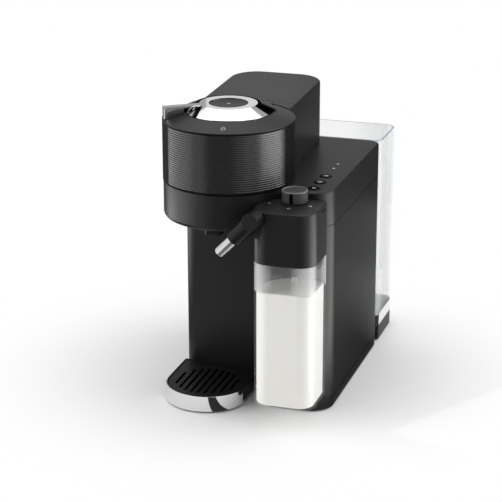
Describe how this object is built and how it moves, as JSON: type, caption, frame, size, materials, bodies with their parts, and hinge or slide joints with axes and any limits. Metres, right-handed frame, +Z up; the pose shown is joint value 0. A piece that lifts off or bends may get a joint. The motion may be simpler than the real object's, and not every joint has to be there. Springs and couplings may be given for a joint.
{
  "type": "pod coffee machine",
  "caption": "Counter-top pod coffee machine with a hinged drum head, lever ring, capsule bin, clear rear water tank, drip tray and a docking milk carafe with swivel spout.",
  "frame": {"origin": "on the table under the middle of the machine's bounding box", "axes": "+Z up, +Y towards the water tank at the back, +X towards the control column, front faces -Y"},
  "size_m": [0.182, 0.3608, 0.319],
  "materials": {
    "charcoal_plastic": "fine matt grain",
    "ribbed_plastic": "satin ribs",
    "black_plastic": "satin",
    "gloss_button": "high gloss",
    "chrome": "mirror polish",
    "silver_band": "satin",
    "clear_tank": "clear",
    "clear_carafe": "clear",
    "rubber": "soft",
    "steel": "turned",
    "light_pipe": "frosted",
    "board_green": "lacquered",
    "heater_alloy": "cast",
    "motor_can": "zinc grey",
    "food_tube": "soft white"
  },
  "bodies": {
    "machine": {"base_plate": "charcoal_plastic", "rubber_feet": "rubber", "base_screws": "steel", "chassis_deck": "black_plastic", "column_shell": "charcoal_plastic", "top_cover": "charcoal_plastic", "cord_gland": "black_plastic", "indicator_lights": "light_pipe", "control_board": "board_green", "chamber_shell": "charcoal_plastic", "coffee_collector": "black_plastic", "coffee_outlet": "black_plastic", "rotor_bearing": "black_plastic", "drive_belt": "rubber", "motor_body": "motor_can", "hinge_bracket": "black_plastic", "hinge_cheeks": "charcoal_plastic", "hinge_pin": "steel", "steam_connector": "black_plastic", "tank_dock": "charcoal_plastic", "valve_seat": "black_plastic", "water_pump": "motor_can", "pump_cushion": "rubber", "thermoblock": "heater_alloy", "flow_meter": "black_plastic", "water_hose": "rubber"},
    "head": {"head_shell": "charcoal_plastic", "head_band": "ribbed_plastic", "head_collar": "charcoal_plastic", "head_frame": "black_plastic", "piercing_plate": "black_plastic", "chamber_seal": "rubber"},
    "lever": {"lever_ring": "chrome"},
    "brew": {"brew_button": "gloss_button", "brew_spring": "steel"},
    "recipe_1": {"recipe_button_1": "black_plastic"},
    "recipe_2": {"recipe_button_2": "black_plastic"},
    "recipe_3": {"recipe_button_3": "black_plastic"},
    "rotor": {"capsule_holder": "black_plastic", "rotor_pulley": "black_plastic"},
    "drive": {"motor_shaft": "steel", "motor_pulley": "black_plastic"},
    "bin": {"capsule_bin": "charcoal_plastic"},
    "tray": {"drip_tray": "charcoal_plastic", "drip_band": "chrome"},
    "grid": {"cup_grid": "black_plastic"},
    "lid": {"carafe_lid": "charcoal_plastic", "lid_seal": "rubber", "milk_pickup": "food_tube"},
    "carafe": {"milk_carafe": "clear_carafe"},
    "knob": {"froth_knob": "charcoal_plastic"},
    "spout": {"milk_spout": "black_plastic", "spout_tip": "chrome"},
    "tank": {"tank_shell": "clear_tank", "tank_band": "silver_band", "tank_valve": "black_plastic"}
  },
  "joints": [
    {"name": "head_hinge", "type": "hinge", "parent": "machine", "child": "head", "pos_m": [-0.0233, -0.01211, 0.2975], "axis": [-1, 0, 0], "range_deg": [0, 40]},
    {"name": "lever_turn", "type": "hinge", "parent": "head", "child": "lever", "pos_m": [-0.0233, -0.08291, 0.317], "axis": [0, 0, 1], "range_deg": [0, 50]},
    {"name": "brew_press", "type": "slide", "parent": "head", "child": "brew", "axis": [0, 0, -1], "range_m": [0, 0.0012], "stiffness_N_per_m": 900, "deforming": ["brew_spring"]},
    {"name": "recipe_1_press", "type": "slide", "parent": "machine", "child": "recipe_1", "axis": [0, 0, -1], "range_m": [0, 0.0008], "stiffness_N_per_m": 900},
    {"name": "recipe_2_press", "type": "slide", "parent": "machine", "child": "recipe_2", "axis": [0, 0, -1], "range_m": [0, 0.0008], "stiffness_N_per_m": 900},
    {"name": "recipe_3_press", "type": "slide", "parent": "machine", "child": "recipe_3", "axis": [0, 0, -1], "range_m": [0, 0.0008], "stiffness_N_per_m": 900},
    {"name": "rotor_spin", "type": "hinge", "parent": "machine", "child": "rotor", "pos_m": [-0.0233, -0.08291, 0.22], "axis": [0, 0, 1], "continuous": true},
    {"name": "motor_spin", "type": "hinge", "parent": "machine", "child": "drive", "pos_m": [-0.0233, 0.01089, 0.205], "axis": [0, 0, 1], "continuous": true},
    {"name": "bin_lift", "type": "slide", "parent": "machine", "child": "bin", "axis": [0, 0, 1], "range_m": [0, 0.08]},
    {"name": "tray_pull", "type": "slide", "parent": "machine", "child": "tray", "axis": [0, -1, 0], "range_m": [0, 0.09]},
    {"name": "grid_lift", "type": "slide", "parent": "tray", "child": "grid", "axis": [0, 0, 1], "range_m": [0, 0.02]},
    {"name": "lid_undock", "type": "slide", "parent": "machine", "child": "lid", "axis": [0, -1, 0], "range_m": [0, 0.08]},
    {"name": "carafe_drop", "type": "slide", "parent": "lid", "child": "carafe", "axis": [0, 0, -1], "range_m": [0, 0.02]},
    {"name": "knob_turn", "type": "hinge", "parent": "lid", "child": "knob", "pos_m": [0.058, -0.12011, 0.24], "axis": [0, 0, 1], "range_deg": [-60, 60]},
    {"name": "spout_swing", "type": "hinge", "parent": "lid", "child": "spout", "pos_m": [0.0334, -0.14906, 0.2256], "axis": [-0.1392, -0.9903, 0], "range_deg": [0, 40]},
    {"name": "tank_lift", "type": "slide", "parent": "machine", "child": "tank", "axis": [0, 0, 1], "range_m": [0, 0.12]}
  ],
  "couplings": [
    {"joint": "motor_spin", "follows": "rotor_spin", "ratio": 2.5714}
  ]
}
